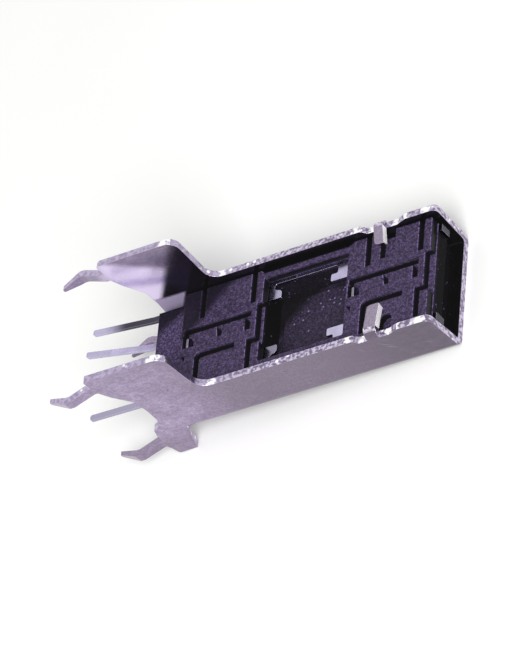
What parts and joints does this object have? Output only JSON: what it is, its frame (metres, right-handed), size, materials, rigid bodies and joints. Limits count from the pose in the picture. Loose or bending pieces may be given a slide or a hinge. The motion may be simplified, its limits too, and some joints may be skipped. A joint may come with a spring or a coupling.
{
  "type": "micro switch",
  "caption": "Board-mounted micro switch: folded metal channel with snap-in legs, dark slotted moulding, window with contact tongues, solder pins at one end and a low sprung push plate.",
  "frame": {"origin": "on the board face that the flanges butt against, midway between the side walls and level with the underside of the channel's floor", "axes": "+X from the board along the channel, +Y across it, +Z out of its open side"},
  "size_m": [0.032, 0.0122, 0.0125],
  "materials": {
    "frame_steel": "satin rolled sheet, bright cut edges",
    "base_moulding": "dark violet-black, fine grain",
    "cover_moulding": "dark violet, grainy",
    "terminal_tin": "bright tin plate",
    "plate_moulding": "black, speckled grain",
    "spring_steel": "rolled spring strip"
  },
  "bodies": {
    "housing": {"frame": "frame_steel", "base": "base_moulding", "cover": "cover_moulding", "far_outer_terminal": "terminal_tin", "far_inner_terminal": "terminal_tin", "near_inner_terminal": "terminal_tin", "near_outer_terminal": "terminal_tin", "left_blade": "terminal_tin", "right_blade": "terminal_tin", "snap_spring": "spring_steel"},
    "push_plate": {"push_plate": "plate_moulding"}
  },
  "joints": [
    {"name": "plate_press", "type": "slide", "parent": "housing", "child": "push_plate", "axis": [0, 0, -1], "range_m": [0, 0.0003], "stiffness_N_per_m": 1500, "springref_m": -0.0004, "deforming": ["snap_spring"]}
  ]
}
